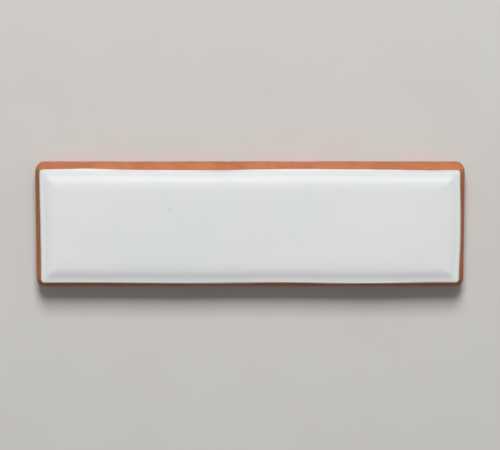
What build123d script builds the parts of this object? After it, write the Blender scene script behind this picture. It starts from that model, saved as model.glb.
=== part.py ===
from build123d import *
import math
import os

# A pressed clay wall tile with a glazed face, lying on its back.
# X runs along its length, Y across it, and Z out of the glazed face.
# The back rests on Z = 0. All sizes are in millimetres and angles in degrees.

# Overall size, over the sides and from the back to the flat field of the face.
tile_length = 240.0
tile_width = 70.0
tile_thickness = 16.0

# The upright corners of the sides, seen from above.
corner_radius = 4.8

# The bare shoulder, which leans in from the sides to the glazed face.
shoulder_run = 3.4
shoulder_lean = 30.0

# The face: a flat lip all round, then a bevel between two arcs, up to the flat field.
lip_width = 2.2
foot_radius = 4.0
bevel_angle = 17.5
bevel_run = 2.4
crown_radius = 17.0

# Roundings: on the hips where two bevels meet, round the lip, and where the shoulder starts.
hip_radius = 6.0
arris_radius = 1.2
heel_radius = 4.0

# The back: lengthwise grooves that key into the adhesive, inside a plain margin.
# An even count leaves a rib on the centre line.
groove_count = 6
groove_depth = 1.6
groove_draft = 20.0
rib_width = 4.2
back_margin = 6.0
back_chamfer = 0.8

# How close two heights count as the same.
near = 0.001

# Sizes that follow from those above.
slope = math.radians(bevel_angle)
foot_rise = foot_radius * (1 - math.cos(slope))
bevel_rise = bevel_run * math.tan(slope)
crown_rise = crown_radius * (1 - math.cos(slope))
lip_height = tile_thickness - crown_rise - bevel_rise - foot_rise
side_height = lip_height - shoulder_run / math.tan(math.radians(shoulder_lean))
groove_field = tile_width - 2 * back_margin
groove_width = (groove_field - (groove_count - 1) * rib_width) / groove_count
groove_length = tile_length - 2 * back_margin


def face_section(span):
    """Upright section over a span of the tile: lip, foot arc, bevel, crown arc and field."""
    half = span / 2
    lip_end = (half - shoulder_run - lip_width, lip_height)
    foot_end = (lip_end[0] - foot_radius * math.sin(slope), lip_height + foot_rise)
    bevel_end = (foot_end[0] - bevel_run, foot_end[1] + bevel_rise)
    field_end = (bevel_end[0] - crown_radius * math.sin(slope), tile_thickness)
    with BuildLine() as outline:
        Polyline((0, 0), (half, 0), (half, lip_height), lip_end)
        TangentArc(lip_end, foot_end, tangent=(-1, 0))
        bevel = Line(foot_end, bevel_end)
        TangentArc(bevel_end, field_end, tangent=bevel % 1)
        Line(field_end, (0, tile_thickness))
        mirror(about=Plane.YZ)
    return make_face(outline.edges())


def is_at(shape, height):
    """Whether the middle of an edge or face is at a height."""
    return abs(shape.center().Z - height) < near


def is_aslant(edge):
    """Whether an edge runs across both X and Y, as a hip does."""
    middle = edge.tangent_at(0.5)
    return abs(middle.X * middle.Y) > 0.1


# The blank: upright sides, then the shoulder leaning in on all of them.
plan = RectangleRounded(tile_length, tile_width, corner_radius)
sides = extrude(plan, side_height)
start = Pos(0, 0, side_height)
shoulder = extrude(start * plan, tile_thickness - side_height, taper=shoulder_lean)

# The face is what the two sections, each carried across the blank, leave of it.
lengthwise = extrude(Plane.XZ * face_section(tile_length), tile_width, both=True)
crosswise = extrude(Plane.YZ * face_section(tile_width), tile_length, both=True)
block = (sides + shoulder) & lengthwise & crosswise

# The hips run aslant from the corners of the lip up to those of the field.
above_lip = [edge for edge in block.edges() if edge.center().Z > lip_height + near]
block = fillet([edge for edge in above_lip if is_aslant(edge)], hip_radius)

# The arris is the outer edge of the lip, and the heel is the lower edge of the shoulder.
lip = [face for face in block.faces().filter_by(Axis.Z) if is_at(face, lip_height)][0]
block = fillet(lip.outer_wire().edges(), arris_radius)
block = fillet([edge for edge in block.edges() if is_at(edge, side_height)], heel_radius)

# The back: a chamfer all round, then the drafted grooves, which stop short of the ends.
back_edges = block.faces().sort_by(Axis.Z)[0].edges()
block = chamfer(back_edges, back_chamfer)
groove = extrude(SlotOverall(groove_length, groove_width), groove_depth, taper=groove_draft)
rows = GridLocations(0, groove_width + rib_width, 1, groove_count)
wall_tile = block - [row * groove for row in rows]

os.makedirs("parts", exist_ok=True)
export_step(wall_tile, "parts/wall_tile.step")
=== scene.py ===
import logging
import math
from dataclasses import dataclass
from enum import Enum

import bpy
import numpy as np
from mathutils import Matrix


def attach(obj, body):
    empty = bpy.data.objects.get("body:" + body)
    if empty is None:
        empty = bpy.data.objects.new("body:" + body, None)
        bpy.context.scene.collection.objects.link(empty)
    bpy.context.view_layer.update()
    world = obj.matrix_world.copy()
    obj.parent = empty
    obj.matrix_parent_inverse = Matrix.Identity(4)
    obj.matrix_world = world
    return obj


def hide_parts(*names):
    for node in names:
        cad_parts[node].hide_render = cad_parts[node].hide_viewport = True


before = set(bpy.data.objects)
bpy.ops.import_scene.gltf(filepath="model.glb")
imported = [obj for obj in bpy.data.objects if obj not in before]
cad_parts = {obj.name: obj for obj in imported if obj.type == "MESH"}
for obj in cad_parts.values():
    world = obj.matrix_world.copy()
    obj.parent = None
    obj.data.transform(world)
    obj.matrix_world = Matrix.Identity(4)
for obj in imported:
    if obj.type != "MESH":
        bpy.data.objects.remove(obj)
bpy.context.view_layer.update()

LOG = logging.getLogger("wall_tile")
MM = 0.001
TINY = 1e-9


def smooth_step(low: float, high: float, value: np.ndarray) -> np.ndarray:
    """A rise from 0 at low to 1 at high, level at both ends: 3 t squared less 2 t cubed.

    Args:
        low: Where the rise starts.
        high: Where the rise ends.
        value: The values to judge.

    Returns:
        The height of the rise at each value.
    """
    part = np.clip((value - low) / (high - low), 0.0, 1.0)
    return part * part * (3.0 - 2.0 * part)


class Layer(Enum):
    """What a point of the tile's surface is made of, as the shader reads it."""

    CLAY = 0.0
    GLAZE = 1.0


@dataclass(frozen=True)
class Cloud:
    """Soft noise: the width of its lumps and how far it is moved, in metres, and its finer layers."""

    size: float
    detail: float
    shift: float = 0.0


@dataclass(frozen=True)
class Scatter:
    """Round dots of mixed sizes, in metres.

    Cells lie at the spacing, and a share of them hold a dot. The radius is that of the largest dots,
    and the smallest are a share of it. The core is the share of a dot's radius that is fully dot.
    """

    spacing: float
    radius: float
    share: float
    smallest: float = 0.4
    core: float = 0.4
    fade: float = 0.02


@dataclass(frozen=True)
class Wave:
    """A swell of a surface: its mean wavelength, and how high it rises, in metres."""

    length: float
    rise: float


class Wire:
    """A socket that carries values, with arithmetic that adds Math nodes."""

    def __init__(self, shader: "Shader", socket: bpy.types.NodeSocket) -> None:
        """Keeps the socket and the shader that it belongs to."""
        self.shader = shader
        self.socket = socket

    def maths(self, operation: str, first: object, second: object) -> "Wire":
        """One Math node.

        Args:
            operation: The node's operation.
            first: The first value or wire.
            second: The second value or wire.

        Returns:
            The wire of its result.
        """
        return self.shader.node("ShaderNodeMath", {"operation": operation}, {0: first, 1: second})

    def __add__(self, other: object) -> "Wire":
        """The sum."""
        return self.maths("ADD", self, other)

    def __radd__(self, other: object) -> "Wire":
        """The sum, from the right."""
        return self.maths("ADD", other, self)

    def __sub__(self, other: object) -> "Wire":
        """The difference."""
        return self.maths("SUBTRACT", self, other)

    def __rsub__(self, other: object) -> "Wire":
        """The difference, from the right."""
        return self.maths("SUBTRACT", other, self)

    def __mul__(self, other: object) -> "Wire":
        """The product."""
        return self.maths("MULTIPLY", self, other)

    def __rmul__(self, other: object) -> "Wire":
        """The product, from the right."""
        return self.maths("MULTIPLY", other, self)

    def rise(self, low: object, high: object) -> "Wire":
        """A smooth rise of this value.

        Args:
            low: The value or wire at which the rise is 0.
            high: The value or wire at which it is 1, which may be the smaller of the two.

        Returns:
            The wire of the rise.
        """
        settings = {"interpolation_type": "SMOOTHSTEP"}
        return self.shader.node("ShaderNodeMapRange", settings, {0: self, 1: low, 2: high, 3: 0.0, 4: 1.0})


class Shader:
    """The node tree of a material or of the world, and the one way that nodes are added to it."""

    def __init__(self, owner: bpy.types.Material | bpy.types.World) -> None:
        """Starts with the owner's tree, emptied.

        Args:
            owner: The material or world that the tree belongs to.
        """
        owner.use_nodes = True
        self.owner = owner
        self.tree = owner.node_tree
        self.tree.nodes.clear()

    def node(self, kind: str, settings: dict, sockets: dict, output: object = 0) -> Wire:
        """Adds a node.

        Args:
            kind: The node's type.
            settings: Its settings, which are set first.
            sockets: Values or wires of its input sockets, by name or number.
            output: The name or number of the output to carry on from.

        Returns:
            The wire of that output, or of the first input where the node has no output.
        """
        made = self.tree.nodes.new(kind)
        for name, value in settings.items():
            setattr(made, name, value)
        for key, value in sockets.items():
            if isinstance(value, Wire):
                self.tree.links.new(value.socket, made.inputs[key])
            else:
                made.inputs[key].default_value = value
        return Wire(self, made.outputs[output]) if made.outputs else Wire(self, made.inputs[0])

    def place(self) -> Wire:
        """The point on the object, in metres."""
        return self.node("ShaderNodeTexCoord", {}, {}, "Object")

    def attribute(self, name: str) -> Wire:
        """The value that the mesh carries under a name."""
        return self.node("ShaderNodeAttribute", {"attribute_name": name}, {}, "Fac")

    def height(self) -> Wire:
        """The height of the point above the plane of the back, in metres."""
        return self.node("ShaderNodeSeparateXYZ", {}, {0: self.place()}, "Z")

    def noise(self, cloud: Cloud) -> Wire:
        """Soft noise.

        Args:
            cloud: The measures of the noise.

        Returns:
            The wire of the noise, about 0.5.
        """
        move = {0: self.place(), 1: (cloud.shift, cloud.shift, cloud.shift)}
        spot = self.node("ShaderNodeVectorMath", {"operation": "ADD"}, move)
        sockets = {"Vector": spot, "Scale": 1.0 / cloud.size, "Detail": cloud.detail}
        return self.node("ShaderNodeTexNoise", {}, sockets, "Fac")

    def streaks(self, size: float, stretch: float = 30.0, detail: float = 2.0) -> Wire:
        """Soft level streaks, as a die leaves on the sides.

        Args:
            size: Their width up and down, in metres.
            stretch: How many times longer than wide they are.
            detail: How many finer layers they have.

        Returns:
            The wire of the streaks, about 0.5.
        """
        scale = (1.0 / (size * stretch), 1.0 / (size * stretch), 1.0 / size)
        spot = self.node("ShaderNodeVectorMath", {"operation": "MULTIPLY"}, {0: self.place(), 1: scale})
        return self.node("ShaderNodeTexNoise", {}, {"Vector": spot, "Scale": 1.0, "Detail": detail}, "Fac")

    def dots(self, scatter: Scatter) -> Wire:
        """Scattered round dots of mixed sizes.

        Args:
            scatter: The measures of the dots.

        Returns:
            The wire of the dots, 1 in the middle of each.
        """
        cells = {"Vector": self.place(), "Scale": 1.0 / scatter.spacing}
        near = self.node("ShaderNodeTexVoronoi", {}, cells, "Distance")
        lot = self.node("ShaderNodeTexVoronoi", {}, cells, "Color")
        pick = self.node("ShaderNodeSeparateColor", {}, {0: lot}, "Red")
        scale = self.node("ShaderNodeSeparateColor", {}, {0: lot}, "Green")
        largest = scatter.radius / scatter.spacing
        reach = (scatter.smallest + (1.0 - scatter.smallest) * scale) * largest
        return near.rise(reach, scatter.core * reach) * pick.rise(scatter.share, scatter.share - scatter.fade)

    def blend(self, share: object, first: object, second: object) -> Wire:
        """A mix of two colours.

        Args:
            share: How much of the second colour there is.
            first: The first colour.
            second: The second colour.

        Returns:
            The wire of the mixed colour.
        """
        settings = {"data_type": "RGBA", "clamp_factor": True}
        return self.node("ShaderNodeMix", settings, {0: share, 6: first, 7: second}, 2)

    def finish(self, surface: dict) -> bpy.types.Material:
        """Ends the shader in one surface.

        Args:
            surface: Values and wires of the surface shader's sockets.

        Returns:
            The finished material.
        """
        body = self.node("ShaderNodeBsdfPrincipled", {}, surface, "BSDF")
        self.node("ShaderNodeOutputMaterial", {}, {"Surface": body})
        return self.owner


def colour(red: float, green: float, blue: float) -> tuple[float, float, float, float]:
    """A linear colour as a socket takes it."""
    return (red, green, blue, 1.0)


@dataclass(frozen=True)
class GlazedClay:
    """Fired red clay with a white satin glaze over the face.

    A rise is the pair of noise values between which something starts to show and shows fully. A strength
    is the most that a colour covers what is below it. Sizes and depths are in metres.
    """

    # The glaze, and the one larger speck in it.
    cool_white: tuple = colour(0.730, 0.748, 0.758)
    warm_white: tuple = colour(0.760, 0.764, 0.756)
    pooled_white: tuple = colour(0.685, 0.708, 0.725)
    # Thin glaze at the arris, greyed by the red body below it and made darker still as painted shade, to hold
    # down the lamp's glint there.
    thin_white_and_arris_shade: tuple = colour(0.50, 0.48, 0.455)
    speck_grey: tuple = colour(0.60, 0.59, 0.58)
    clouds: Cloud = Cloud(0.045, 3.0)
    cloud_rise: tuple = (0.35, 0.68)
    pool_strength: float = 0.55
    thin_strength: float = 0.9
    pins: Scatter = Scatter(0.011, 0.00028, 0.22)
    pin_strength: float = 0.55
    pin_depth: float = 0.03 * MM
    speck_place: tuple = (-0.0443, 0.0107, 0.016)
    speck_radius: float = 0.0013
    speck_core: float = 0.0005
    speck_strength: float = 0.5
    peel: Cloud = Cloud(0.0055, 1.0, 0.2)
    peel_depth: float = 0.010 * MM
    fine_peel: Cloud = Cloud(0.0016, 1.0, 0.5)
    fine_peel_depth: float = 0.0016 * MM
    shine: Cloud = Cloud(0.02, 3.0, 0.6)
    glaze_rough: float = 0.30
    shine_spread: float = 0.10
    thin_rough: float = 0.22
    glaze_rise: tuple = (0.35, 0.65)
    ior: float = 1.5

    # The bare clay.
    red_clay: tuple = colour(0.441, 0.144, 0.057)
    brown_clay: tuple = colour(0.352, 0.105, 0.042)
    # Dark grit, and painted shade in the pores.
    pore_shade_and_grit: tuple = colour(0.100, 0.041, 0.023)
    pale_grit: tuple = colour(0.560, 0.330, 0.205)
    dust: tuple = colour(0.510, 0.300, 0.195)
    mottle: Cloud = Cloud(0.012, 4.0, 0.3)
    mottle_rise: tuple = (0.32, 0.72)
    sand: Cloud = Cloud(0.00042, 3.0, 0.7)
    pale_sand_rise: tuple = (0.52, 0.72)
    pale_sand_strength: float = 0.32
    brown_sand_rise: tuple = (0.48, 0.28)
    brown_sand_strength: float = 0.45
    streak_width: float = 0.0009
    streak_rise: tuple = (0.55, 0.75)
    streak_strength: float = 0.3
    streak_depth: float = 0.06 * MM
    flash_strength: float = 0.35
    grains: Scatter = Scatter(0.0021, 0.00022, 0.3)
    grain_strength: float = 0.6
    pores: Scatter = Scatter(0.0034, 0.0003, 0.45)
    pore_strength: float = 0.8
    pore_depth: float = 0.12 * MM
    dusting: Cloud = Cloud(0.006, 3.0, 1.1)
    dust_rise: tuple = (0.35, 0.65)
    dust_strength: float = 0.6
    rib_height: float = 0.00025
    grit: Cloud = Cloud(0.0008, 4.0, 0.9)
    grit_depth: float = 0.16 * MM
    lumps: Cloud = Cloud(0.009, 2.0, 0.4)
    lump_depth: float = 0.20 * MM
    dullness: Cloud = Cloud(0.003, 2.0, 0.8)
    clay_rough: float = 0.82
    dullness_spread: float = 0.14

    def glaze_colour(self, shader: Shader) -> Wire:
        """The colour of the glaze: clouds of cool and warm white, greyer where it pools and thins, and darker
        at the arris as painted shade that holds down the glint there.

        Args:
            shader: The shader to add to.

        Returns:
            The wire of the colour.
        """
        clouds = shader.noise(self.clouds).rise(*self.cloud_rise)
        white = shader.blend(clouds, self.cool_white, self.warm_white)
        white = shader.blend(shader.attribute("pool") * self.pool_strength, white, self.pooled_white)
        # Where the glaze thins at the arris: the red body showing through, plus painted shade that holds down
        # the glint.
        white = shader.blend(shader.attribute("thin") * self.thin_strength, white, self.thin_white_and_arris_shade)
        ends = {0: shader.place(), 1: self.speck_place}
        away = shader.node("ShaderNodeVectorMath", {"operation": "DISTANCE"}, ends, "Value")
        speck = away.rise(self.speck_radius, self.speck_core)
        white = shader.blend(speck * self.speck_strength, white, self.speck_grey)
        return shader.blend(shader.dots(self.pins) * self.pin_strength, white, self.speck_grey)

    def clay_colour(self, shader: Shader) -> Wire:
        """The colour of the bare clay: mottled red, with pale grit, dark pores that are partly dark grit and
        partly painted shade in the pits, and dust on the ribs.

        Args:
            shader: The shader to add to.

        Returns:
            The wire of the colour.
        """
        mottle = shader.noise(self.mottle).rise(*self.mottle_rise)
        clay = shader.blend(mottle, self.red_clay, self.brown_clay)
        sand = shader.noise(self.sand)
        pale_sand = sand.rise(*self.pale_sand_rise)
        clay = shader.blend(pale_sand * self.pale_sand_strength, clay, self.pale_grit)
        brown_sand = sand.rise(*self.brown_sand_rise)
        clay = shader.blend(brown_sand * self.brown_sand_strength, clay, self.brown_clay)
        streaks = shader.streaks(self.streak_width).rise(*self.streak_rise)
        clay = shader.blend(streaks * self.streak_strength, clay, self.brown_clay)
        clay = shader.blend(shader.attribute("flash") * self.flash_strength, clay, self.brown_clay)
        clay = shader.blend(shader.dots(self.grains) * self.grain_strength, clay, self.pale_grit)
        # The pores are darkened: partly dark grit, partly painted shade in the pits.
        clay = shader.blend(shader.dots(self.pores) * self.pore_strength, clay, self.pore_shade_and_grit)
        worn = shader.height().rise(self.rib_height, 0.0)
        worn = worn * shader.noise(self.dusting).rise(*self.dust_rise)
        return shader.blend(worn * self.dust_strength, clay, self.dust)

    def relief(self, shader: Shader, glazed: Wire) -> Wire:
        """The fine relief: a faint orange peel on the glaze, grain and pores on the clay.

        Args:
            shader: The shader to add to.
            glazed: The wire that is 1 on glaze.

        Returns:
            The wire of the normal.
        """
        peel = shader.noise(self.peel) * self.peel_depth
        peel = peel + shader.noise(self.fine_peel) * self.fine_peel_depth
        pins = shader.dots(self.pins) * self.pin_depth
        grain = shader.noise(self.grit) * self.grit_depth
        grain = grain + shader.noise(self.lumps) * self.lump_depth
        grain = grain + shader.streaks(self.streak_width) * self.streak_depth
        pores = shader.dots(self.pores) * self.pore_depth
        height = glazed * (peel - pins) + (1.0 - glazed) * (grain - pores)
        return shader.node("ShaderNodeBump", {}, {"Strength": 1.0, "Distance": 1.0, "Height": height})

    def material(self) -> bpy.types.Material:
        """The material: glaze where the mesh says so, bare clay elsewhere.

        Returns:
            The material.
        """
        shader = Shader(bpy.data.materials.new("glazed_clay"))
        glazed = shader.attribute("glaze").rise(*self.glaze_rise)
        satin = self.glaze_rough + self.shine_spread * shader.noise(self.shine)
        satin = satin + self.thin_rough * shader.attribute("thin")
        matt = self.clay_rough + self.dullness_spread * shader.noise(self.dullness)
        return shader.finish({
            "Base Color": shader.blend(glazed, self.clay_colour(shader), self.glaze_colour(shader)),
            "Roughness": glazed * satin + (1.0 - glazed) * matt,
            "IOR": self.ior,
            "Normal": self.relief(shader, glazed),
        })


@dataclass(frozen=True)
class PaleFloor:
    """A plain pale matt floor with a very faint mottle."""

    light: tuple = colour(0.615, 0.600, 0.575)
    dark: tuple = colour(0.604, 0.588, 0.562)
    mottle: Cloud = Cloud(0.05, 3.0)
    mottle_rise: tuple = (0.3, 0.7)
    rough: float = 0.9

    def material(self) -> bpy.types.Material:
        """The floor's material.

        Returns:
            The material.
        """
        shader = Shader(bpy.data.materials.new("pale_floor"))
        mottle = shader.noise(self.mottle).rise(*self.mottle_rise)
        tone = shader.blend(mottle, self.light, self.dark)
        return shader.finish({"Base Color": tone, "Roughness": self.rough})


@dataclass
class WallTile:
    """The tile: glazed face, bare shoulders and sides, and a grooved back. Sizes are in metres."""

    # The blank, with its shoulder and its roundings.
    length: float = 0.240
    width: float = 0.070
    thickness: float = 0.016
    corner: float = 0.0048
    shoulder_run: float = 0.0034
    shoulder_lean: float = math.radians(30.0)
    arris: float = 0.0012
    heel: float = 0.004
    chamfer: float = 0.0008
    chamfer_in: tuple = (0.0, 0.0, 0.3, 0.7, 1.0)
    chamfer_up: tuple = (1.35, 1.0, 0.7, 0.3, 0.0)

    # The face. Its slope on the lip is a share of the steepest slope of the bevel.
    lip: float = 0.0022
    lip_tilt: float = math.radians(6.0)
    lip_share: float = 0.7
    lip_ease: float = 0.6 * MM
    face_drop: float = 0.00173
    steep_start: float = 0.0034
    steep_end: float = 0.0052
    bevel_tail: float = 0.0026
    bevel_reach: float = 0.030
    bevel_samples: int = 1201
    hip_power: float = 6.0
    face_waves: tuple = (Wave(0.045, 0.018 * MM), Wave(0.014, 0.004 * MM))
    face_sink: float = 0.03 * MM
    swell_start: float = 0.6 * MM
    swell_ease: float = 3.0 * MM
    pool_place: float = 2.8 * MM
    pool_width: float = 1.0 * MM

    # The back. A groove's wall is eased by a share of its width at the top and at the foot.
    groove_count: int = 6
    groove_depth: float = 0.0016
    groove_draft: float = math.radians(20.0)
    groove_waves: tuple = (Wave(0.02, 0.03 * MM),)
    groove_sink: float = 0.05 * MM
    wall_ease: float = 0.15
    rib: float = 0.0042
    back_margin: float = 0.006

    # The lower edge of the glaze. Rows of points lie at shares of the way down to it, and stand proud
    # by shares of its depth, so that it ends in a roll.
    glaze_depth: float = 0.00022
    glaze_reach: float = 0.0016
    glaze_waves: tuple = (Wave(0.060, 0.30 * MM), Wave(0.015, 0.09 * MM))
    glaze_limit: float = 0.54 * MM
    glaze_shares: tuple = (0.12, 0.25, 0.38, 0.5, 0.62, 0.74, 0.84, 0.92, 0.97, 1.0)
    glaze_roll: tuple = (0.1, 0.4, 0.75, 0.95, 1.05, 1.15, 1.15, 1.0, 0.7, 0.35)
    thin_rise: tuple = (0.1, 0.8)

    # The bare clay below it. Its first rows pass over from the wandering edge to a level line.
    clay_gap: float = 0.06 * MM
    clay_level: float = 2.2 * MM
    clay_shares: tuple = (0.0, 0.06, 0.2, 0.45, 0.72)
    clay_waves: tuple = (Wave(0.030, 0.06 * MM), Wave(0.006, 0.02 * MM))
    clay_sink: float = 0.10 * MM
    clay_rise: tuple = (0.2 * MM, 1.2 * MM)
    clay_ease: float = 1.5 * MM
    flash_reach: float = 0.5 * MM

    # The slight wander of the face's outline.
    outline_waves: tuple = (Wave(0.070, 0.3 * MM),)
    outline_reach: float = 14 * MM
    outline_ease: float = 10 * MM
    outline_top: float = 1 * MM

    # The grid. Steps along and across half the tile are wider up to the turn and closer beyond it.
    turn_x: float = 0.098
    steps_x: tuple = (57, 35)
    turn_y: float = 0.018
    steps_y: tuple = (20, 22)
    line_gap: float = 0.2 * MM
    corner_steps: int = 6
    arris_steps: int = 24
    heel_steps: int = 16
    heel_skip: int = 3
    side_steps: int = 8
    probe: float = 0.02 * MM
    sharp_angle: float = math.radians(38.0)

    # The random draws of the waves: each has a number of sines, of lengths spread about the mean.
    seed: int = 41
    sine_count: int = 7
    sine_spread: tuple = (0.6, 1.6)

    def __post_init__(self) -> None:
        """Works out the heights, the straight runs and the grid lines that the surfaces share."""
        self.lip_height = self.thickness - self.face_drop
        self.side_height = self.lip_height - self.shoulder_run / math.tan(self.shoulder_lean)
        self.core_x = self.length / 2 - self.corner
        self.core_y = self.width / 2 - self.corner
        field_width = self.width - 2 * self.back_margin
        self.groove = (field_width - (self.groove_count - 1) * self.rib) / self.groove_count
        self.wall = self.groove_depth * math.tan(self.groove_draft)
        places = np.arange(self.groove_count) - (self.groove_count - 1) / 2
        self.groove_rows = places * (self.groove + self.rib)
        self.arris_inset = self.shoulder_run + self.arris * math.tan(self.shoulder_lean)
        self.face_inset = self.arris_inset - self.arris * math.sin(self.lip_tilt)
        self.draws = np.random.default_rng(self.seed)
        self.lines_x = self.mirrored(self.graded(self.turn_x, self.core_x, self.steps_x))
        self.lines_y = self.mirrored(self.cross_lines())

    @staticmethod
    def mirrored(half: np.ndarray) -> np.ndarray:
        """Lines from 0 outwards, with their mirror image."""
        return np.concatenate([-half[:0:-1], half])

    @staticmethod
    def graded(turn: float, end: float, steps: tuple[int, int]) -> np.ndarray:
        """Lines from 0 outwards, with one even spacing up to the turn and another beyond it.

        Args:
            turn: Where the spacing changes.
            end: Where the lines end.
            steps: The number of steps up to the turn and beyond it.

        Returns:
            The distances of the lines, in order.
        """
        inner = np.linspace(0.0, turn, steps[0] + 1)
        outer = np.linspace(turn, end, steps[1] + 1)
        return np.concatenate([inner, outer[1:]])

    def cross_lines(self) -> np.ndarray:
        """Lines across half the tile: closer towards the edge, with lines on each groove wall.

        Returns:
            The distances from the centre line, in order.
        """
        even = self.graded(self.turn_y, self.core_y, self.steps_y)
        edges = np.concatenate([self.groove_rows - self.groove / 2, self.groove_rows + self.groove / 2])
        inward = np.concatenate([np.ones(self.groove_count), -np.ones(self.groove_count)])
        ease = self.wall_ease
        steps = np.array([-ease, ease, 0.5, 1.0 - ease, 1.0 + ease]) * self.wall
        walls = (edges[:, None] + inward[:, None] * steps[None, :]).ravel()
        walls = walls[(walls > 0) & (walls < self.core_y)]
        gap = np.abs(even[:, None] - walls[None, :]).min(axis=1)
        kept = even[(gap > self.line_gap) | (even == 0) | (even == self.core_y)]
        return np.unique(np.concatenate([kept, walls]))

    def sheet_plan(self, inset: float) -> tuple[np.ndarray, np.ndarray]:
        """The plan of a level sheet: a rounded oblong on the shared grid lines.

        Inside the straight runs a point stays on its lines. In a corner square, the larger of the two
        shares of the way out is the distance from the corner's centre, and their ratio is the angle, so
        the square becomes a quarter of a disc.

        Args:
            inset: How far the sheet's edge lies inside the tile's sides.

        Returns:
            The two plan coordinates of each grid point.
        """
        radius = self.corner - inset
        out = np.arange(1, self.corner_steps + 1) / self.corner_steps * radius
        line_x = np.concatenate([-self.core_x - out[::-1], self.lines_x, self.core_x + out])
        line_y = np.concatenate([-self.core_y - out[::-1], self.lines_y, self.core_y + out])
        grid_x, grid_y = np.meshgrid(line_x, line_y, indexing="ij")
        share_x = np.clip((np.abs(grid_x) - self.core_x) / radius, 0.0, 1.0)
        share_y = np.clip((np.abs(grid_y) - self.core_y) / radius, 0.0, 1.0)
        larger = np.maximum(share_x, share_y)
        ratio = np.minimum(share_x, share_y) / np.maximum(larger, TINY) * math.pi / 4
        angle = np.where(share_x >= share_y, ratio, math.pi / 2 - ratio)
        in_corner = (share_x > 0) & (share_y > 0)
        round_x = np.sign(grid_x) * (self.core_x + radius * larger * np.cos(angle))
        round_y = np.sign(grid_y) * (self.core_y + radius * larger * np.sin(angle))
        return np.where(in_corner, round_x, grid_x), np.where(in_corner, round_y, grid_y)

    @staticmethod
    def rim(shape: tuple[int, int]) -> np.ndarray:
        """The numbers of a grid's border points, once round, seen from above, against the clock.

        Args:
            shape: The grid's number of lines each way.

        Returns:
            The point numbers.
        """
        number = np.arange(shape[0] * shape[1]).reshape(shape)
        return np.concatenate([number[:-1, 0], number[-1, :-1], number[:0:-1, -1], number[0, :0:-1]])

    def ripple(self, spots: np.ndarray, waves: tuple[Wave, ...]) -> np.ndarray:
        """A soft uneven swell: for each wave, sines that run in random directions with random lengths.

        Args:
            spots: Points, one to a row.
            waves: The waves, which are added up.

        Returns:
            The swell at each point.
        """
        count = self.sine_count
        total = np.zeros(spots.shape[:-1])
        for wave in waves:
            heading = self.draws.normal(size=(spots.shape[-1], count))
            heading /= np.linalg.norm(heading, axis=0)
            lengths = wave.length * self.draws.uniform(*self.sine_spread, count)
            start = self.draws.uniform(0.0, 2 * math.pi, count)
            sines = np.sin(spots @ (heading * 2 * math.pi / lengths) + start)
            total += sines.sum(axis=-1) / math.sqrt(count) * wave.rise
        return total

    def from_edge(self, plan_x: np.ndarray, plan_y: np.ndarray) -> tuple[np.ndarray, np.ndarray]:
        """How far points lie in from the face's edge, along and across the tile.

        Args:
            plan_x: Plan coordinates along the tile.
            plan_y: Plan coordinates across the tile.

        Returns:
            The two distances of each point.
        """
        in_x = self.length / 2 - self.shoulder_run - np.abs(plan_x)
        in_y = self.width / 2 - self.shoulder_run - np.abs(plan_y)
        return in_x, in_y

    def bevel_drop(self, depth: np.ndarray) -> np.ndarray:
        """How far the face lies below its field, by the distance in from the face's edge.

        The slope is lower on the lip, rises smoothly to its steepest, holds, and dies away exponentially
        towards the field. The drop is the sum of the slopes from that point to the field, scaled to the
        whole drop at the arris.

        Args:
            depth: Distances in from the edge.

        Returns:
            The drop at each distance.
        """
        along = np.linspace(0.0, self.bevel_reach, self.bevel_samples)
        steep = smooth_step(self.lip - self.lip_ease, self.steep_start, along)
        slope = self.lip_share + (1 - self.lip_share) * steep
        slope *= np.exp(-np.maximum(along - self.steep_end, 0.0) / self.bevel_tail)
        total = np.cumsum(slope[::-1])[::-1]
        whole = self.face_drop + self.arris * (1 - math.cos(self.lip_tilt))
        at_arris = np.interp(self.face_inset - self.shoulder_run, along, total)
        return np.interp(depth, along, total) / at_arris * whole

    def face_heights(self, plan_x: np.ndarray, plan_y: np.ndarray) -> np.ndarray:
        """The height of the face: the field less the drops of the bevels, which meet in soft hips.

        The two drops are joined as the root of the sum of their high powers, which is the larger one away
        from the hips. On the lip the larger one counts alone. The glaze adds a slight swell.

        Args:
            plan_x: Plan coordinates along the tile.
            plan_y: Plan coordinates across the tile.

        Returns:
            The heights.
        """
        in_x, in_y = self.from_edge(plan_x, plan_y)
        nearest = np.minimum(in_x, in_y)
        drop_x = self.bevel_drop(in_x) / self.face_drop
        drop_y = self.bevel_drop(in_y) / self.face_drop
        joined = (drop_x ** self.hip_power + drop_y ** self.hip_power) ** (1.0 / self.hip_power)
        joined = np.where(nearest < self.lip, np.maximum(drop_x, drop_y), joined)
        swell = self.ripple(np.stack([plan_x, plan_y], axis=-1), self.face_waves) - self.face_sink
        inside = smooth_step(0.0, self.swell_ease, nearest - self.swell_start)
        return self.thickness - self.face_drop * joined + swell * inside

    def back_heights(self, plan_x: np.ndarray, plan_y: np.ndarray) -> np.ndarray:
        """The height of the back: level ribs with round-ended grooves between them.

        For each groove, the distance in from its outline decides the depth, which rises smoothly over the
        width of the drafted wall.

        Args:
            plan_x: Plan coordinates along the tile.
            plan_y: Plan coordinates across the tile.

        Returns:
            The heights.
        """
        half = self.groove / 2
        beyond = np.maximum(np.abs(plan_x) - (self.length / 2 - self.back_margin - half), 0.0)
        across = np.abs(plan_y[..., None] - self.groove_rows).min(axis=-1)
        inside = half - np.hypot(beyond, across)
        floor = self.ripple(np.stack([plan_x, plan_y], axis=-1), self.groove_waves) - self.groove_sink
        cut = smooth_step(-self.wall_ease * self.wall, (1.0 + self.wall_ease) * self.wall, inside)
        return cut * (self.groove_depth + floor)

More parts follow.
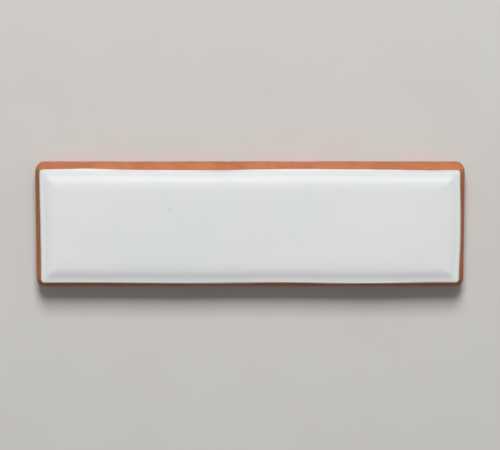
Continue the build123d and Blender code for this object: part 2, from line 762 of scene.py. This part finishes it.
    def side_profile(self) -> list[np.ndarray]:
        """The section of the edge, from the lip down to the back, in three parts: arris, heel and chamfer.

        The arris and the heel are arcs through the turn of the surface. The shoulder is the straight run
        between them, and the side is the one between the heel and the chamfer.

        Returns:
            For each part, the insets and the heights of points along it.
        """
        lean = self.shoulder_lean
        turn = np.linspace(math.pi / 2 - self.lip_tilt, lean, self.arris_steps + 1)
        arris_in = self.arris_inset - self.arris * np.cos(turn)
        arris_up = self.lip_height - self.arris + self.arris * np.sin(turn)
        swing = np.linspace(lean, 0.0, self.heel_steps + 1)
        heel_low = self.side_height - self.heel * math.tan(lean / 2)
        heel_in = self.heel - self.heel * np.cos(swing)
        heel_up = heel_low + self.heel * np.sin(swing)
        foot = np.array([self.chamfer_in, self.chamfer_up]) * self.chamfer
        return [np.stack([arris_in, arris_up]), np.stack([heel_in, heel_up]), foot]

    def band_rows(self, edge: np.ndarray, run: np.ndarray, heel: int, foot: int) -> np.ndarray:
        """How far down the section each row of the band's points lies, at each place round the outline.

        The glaze rows are shares of the way to the glaze's edge. The first clay rows are mixes of a line
        just below that edge and a level line, and the later ones are level all round.

        Args:
            edge: How far down the glaze's edge lies, by place round the outline.
            run: How far down the section's points lie.
            heel: The number of the heel's first point.
            foot: The number of the chamfer's first point.

        Returns:
            The distances, by row and place.
        """
        side = np.linspace(run[foot - 1], run[foot], self.side_steps + 1)[1:]
        first = self.glaze_reach + self.clay_level
        level = np.concatenate([[first], run[heel:foot:self.heel_skip], side, run[foot + 1:-1]])
        share = np.array(self.clay_shares)[:, None]
        glaze = np.array(self.glaze_shares)[:, None] * edge
        passing = (edge + self.clay_gap) * (1 - share) + first * share
        return np.concatenate([glaze, passing, np.repeat(level[:, None], edge.size, axis=1)])

    def edge_band(self, plan_x: np.ndarray, plan_y: np.ndarray) -> dict[str, np.ndarray]:
        """The band round the tile, from the lip to the back: the section carried round the outline.

        The first rows follow the glaze down to its wandering lower edge, where it stands proud as a small
        roll. The later rows are bare clay, with a slight swell inwards. Both are moved along the normal of
        the section, which is square to the line between two points just before and after.

        Args:
            plan_x: Plan coordinates of the outline along the tile.
            plan_y: Plan coordinates of the outline across the tile.

        Returns:
            The points, and the values that the shader reads, by row and place round the outline.
        """
        outline = np.stack([plan_x, plan_y], axis=-1)
        core = np.clip(outline, [-self.core_x, -self.core_y], [self.core_x, self.core_y])
        outward = (outline - core) / self.corner
        arris, heel, foot = self.side_profile()
        inset, height = np.concatenate([arris, heel, foot], axis=1)
        run = np.concatenate([[0.0], np.cumsum(np.hypot(np.diff(inset), np.diff(height)))])
        wander = self.ripple(outline, self.glaze_waves)
        edge = self.glaze_reach + np.clip(wander, -self.glaze_limit, self.glaze_limit)
        rows = self.band_rows(edge, run, arris.shape[1], arris.shape[1] + heel.shape[1])
        proud = np.zeros_like(rows)
        proud[: len(self.glaze_roll)] = np.array(self.glaze_roll)[:, None] * self.glaze_depth
        at_in = np.interp(rows, run, inset)
        at_up = np.interp(rows, run, height)
        before, after = rows - self.probe, rows + self.probe
        ahead_in = np.interp(after, run, inset) - np.interp(before, run, inset)
        ahead_up = np.interp(after, run, height) - np.interp(before, run, height)
        size = np.maximum(np.hypot(ahead_in, ahead_up), TINY)
        spots = self.carried(outline, outward, at_in, at_up)
        swell = self.ripple(spots, self.clay_waves) - self.clay_sink
        bare = smooth_step(*self.clay_rise, rows - edge) * smooth_step(0.0, self.clay_ease, run[-1] - rows)
        shift = (proud + swell * bare) / size
        points = self.carried(outline, outward, at_in + shift * ahead_up, at_up - shift * ahead_in)
        glaze = np.where(rows <= edge + TINY, Layer.GLAZE.value, Layer.CLAY.value)
        thin = glaze * smooth_step(*self.thin_rise, rows / edge)
        flash = (1.0 - glaze) * np.exp(-np.maximum(rows - edge, 0.0) / self.flash_reach)
        return {"points": points, "glaze": glaze, "thin": thin, "flash": flash}

    @staticmethod
    def carried(
        outline: np.ndarray, outward: np.ndarray, inset: np.ndarray, height: np.ndarray
    ) -> np.ndarray:
        """Points of a section carried round the outline, each set in from it and at its height.

        Args:
            outline: Plan points of the outline.
            outward: The direction outwards at each of them.
            inset: How far in the points lie, by row and place round the outline.
            height: Their heights, likewise.

        Returns:
            The points, by row and place.
        """
        return np.concatenate([outline - inset[..., None] * outward, height[..., None]], axis=-1)

    def pool(self, plan_x: np.ndarray, plan_y: np.ndarray) -> np.ndarray:
        """Where the glaze gathers: a soft bell along the foot of the bevel.

        Args:
            plan_x: Plan coordinates along the tile.
            plan_y: Plan coordinates across the tile.

        Returns:
            How much it gathers, from 0 to 1.
        """
        nearest = np.minimum(*self.from_edge(plan_x, plan_y))
        return np.exp(-(((nearest - self.pool_place) / self.pool_width) ** 2))

    def by_hand(self, points: np.ndarray) -> np.ndarray:
        """The points with the outline of the face wandering a little, as on a tile that was trimmed by hand.

        Each point near the edge is moved straight out or in by a long swell, fully at the lip and less and
        less down the shoulder and in towards the field.

        Args:
            points: Points, one to a row.

        Returns:
            The moved points.
        """
        inner = np.array([self.length / 2, self.width / 2]) - self.outline_reach
        out = points[:, :2] - np.clip(points[:, :2], -inner, inner)
        reach = np.linalg.norm(out, axis=1)
        top = self.lip_height - self.outline_top
        amount = self.ripple(points[:, :2], self.outline_waves)
        amount *= smooth_step(0.0, self.outline_ease, reach)
        amount *= smooth_step(self.side_height, top, points[:, 2])
        moved = points.copy()
        moved[:, :2] += out / np.maximum(reach, TINY)[:, None] * amount[:, None]
        return moved

    @staticmethod
    def faces(shape: tuple[int, int], rim: np.ndarray, rows: int) -> np.ndarray:
        """The four-sided faces: the grid of the face, the rings of the band, and the back's grid turned over.

        Args:
            shape: The number of lines of both grids each way.
            rim: The numbers of a grid's border points.
            rows: The number of the band's rows.

        Returns:
            The numbers of each face's corners.
        """
        number = np.arange(shape[0] * shape[1]).reshape(shape)
        corners = [number[:-1, :-1], number[1:, :-1], number[1:, 1:], number[:-1, 1:]]
        quads = np.stack(corners, axis=-1).reshape(-1, 4)
        back_start = number.size + rows * rim.size
        band = np.arange(number.size, back_start).reshape(rows, rim.size)
        rings = np.concatenate([rim[None], band, back_start + rim[None]])
        after = np.roll(rings, -1, axis=1)
        walls = np.stack([rings[:-1], rings[1:], after[1:], after[:-1]], axis=-1).reshape(-1, 4)
        return np.concatenate([quads, walls, back_start + quads[:, ::-1]])

    def build(self) -> bpy.types.Object:
        """Joins face, band and back into one closed mesh, and gives it the values that the shader reads.

        Returns:
            The tile's object.
        """
        face_x, face_y = self.sheet_plan(self.face_inset)
        back_x, back_y = self.sheet_plan(self.chamfer)
        side_x, side_y = self.sheet_plan(0.0)
        face = np.stack([face_x, face_y, self.face_heights(face_x, face_y)], axis=-1)
        back = np.stack([back_x, back_y, self.back_heights(back_x, back_y)], axis=-1)
        rim = self.rim(face_x.shape)
        band = self.edge_band(side_x.ravel()[rim], side_y.ravel()[rim])
        sheets = [face, band["points"], back]
        points = self.by_hand(np.concatenate([sheet.reshape(-1, 3) for sheet in sheets]))
        faces = self.faces(face_x.shape, rim, band["points"].shape[0])
        mesh = bpy.data.meshes.new("wall_tile_body")
        mesh.from_pydata(points.tolist(), [], faces.tolist())
        mesh.shade_smooth()
        mesh.set_sharp_from_angle(angle=self.sharp_angle)
        none = np.zeros(face_x.size)
        pool = self.pool(face_x, face_y).ravel()
        self.carry(mesh, "glaze", np.concatenate([none + Layer.GLAZE.value, band["glaze"].ravel(), none]))
        self.carry(mesh, "thin", np.concatenate([none, band["thin"].ravel(), none]))
        self.carry(mesh, "flash", np.concatenate([none, band["flash"].ravel(), none]))
        self.carry(mesh, "pool", np.concatenate([pool, np.zeros(band["glaze"].size), none]))
        tile = bpy.data.objects.new("wall_tile_body", mesh)
        bpy.context.scene.collection.objects.link(tile)
        return tile

    @staticmethod
    def carry(mesh: bpy.types.Mesh, name: str, values: np.ndarray) -> None:
        """Puts one value to a point on the mesh, under a name."""
        mesh.attributes.new(name, "FLOAT", "POINT").data.foreach_set("value", values.astype(np.float32))

    def dress(self, tile: bpy.types.Object, finish: GlazedClay) -> None:
        """Gives the tile its finish and says which part of the frame it stands for.

        Args:
            tile: The tile's object.
            finish: Its finish.
        """
        tile.data.materials.append(finish.material())
        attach(tile, "root")
        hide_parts("wall_tile")


@dataclass
class Studio:
    """Floor, soft light and camera. Sizes are in metres."""

    floor_reach: float = 2.0
    floor_level: float = -0.0002
    key_height: float = math.radians(42.0)
    key_away: float = 2.6
    key_size: float = 1.0
    key_watts: float = 73.0
    fill: float = 0.29
    backdrop: float = 0.72
    lens: float = 200.0
    camera_lean: float = math.radians(10.0)
    frame_width: float = 0.280

    def build_floor(self, finish: PaleFloor) -> bpy.types.Object:
        """A level square floor under the tile.

        Args:
            finish: The floor's finish.

        Returns:
            The floor's object.
        """
        reach = np.array([-self.floor_reach, self.floor_reach])
        plan_x, plan_y = np.meshgrid(reach, reach, indexing="ij")
        level = np.full_like(plan_x, self.floor_level)
        points = np.stack([plan_x, plan_y, level], axis=-1).reshape(-1, 3)
        mesh = bpy.data.meshes.new("floor")
        mesh.from_pydata(points.tolist(), [], [[0, 2, 3, 1]])
        mesh.materials.append(finish.material())
        floor = bpy.data.objects.new("floor", mesh)
        bpy.context.scene.collection.objects.link(floor)
        return floor

    def build_light(self) -> None:
        """A broad soft lamp from beyond the long side, a low even fill, and a pale backdrop all round."""
        lamp = bpy.data.lights.new("key", "AREA")
        lamp.shape = "SQUARE"
        lamp.size = self.key_size
        lamp.energy = self.key_watts
        key = bpy.data.objects.new("key", lamp)
        along, up = math.cos(self.key_height), math.sin(self.key_height)
        key.location = (0.0, self.key_away * along, self.key_away * up)
        key.rotation_euler = (self.key_height - math.pi / 2, 0.0, 0.0)
        bpy.context.scene.collection.objects.link(key)
        world = bpy.data.worlds.new("fill")
        shader = Shader(world)
        seen = shader.node("ShaderNodeLightPath", {}, {}, "Is Camera Ray")
        seen = seen + shader.node("ShaderNodeLightPath", {}, {}, "Is Glossy Ray")
        strength = self.fill + seen * (self.backdrop - self.fill)
        sky = shader.node("ShaderNodeBackground", {}, {"Strength": strength})
        shader.node("ShaderNodeOutputWorld", {}, {"Surface": sky})
        bpy.context.scene.world = world

    def build_camera(self, tile: WallTile) -> None:
        """A camera above the tile that leans a little towards the light.

        Args:
            tile: The tile that it looks at.
        """
        lens = bpy.data.cameras.new("camera")
        lens.lens = self.lens
        away = self.frame_width * self.lens / lens.sensor_width
        camera = bpy.data.objects.new("camera", lens)
        lean = self.camera_lean
        camera.location = (0.0, away * math.sin(lean), tile.thickness / 2 + away * math.cos(lean))
        camera.rotation_euler = (-lean, 0.0, 0.0)
        bpy.context.scene.collection.objects.link(camera)
        bpy.context.scene.camera = camera


def main() -> None:
    """Builds the tile, then the studio round it."""
    logging.basicConfig(level=logging.INFO, format="%(name)s: %(message)s")
    bpy.context.scene.view_settings.view_transform = "Standard"
    tile = WallTile()
    body = tile.build()
    tile.dress(body, GlazedClay())
    LOG.info("%s: %d points, %d faces", body.name, len(body.data.vertices), len(body.data.polygons))
    studio = Studio()
    floor = studio.build_floor(PaleFloor())
    LOG.info("%s: reaches %.1f m each way", floor.name, studio.floor_reach)
    studio.build_light()
    studio.build_camera(tile)


if __name__ == "__main__":
    main()
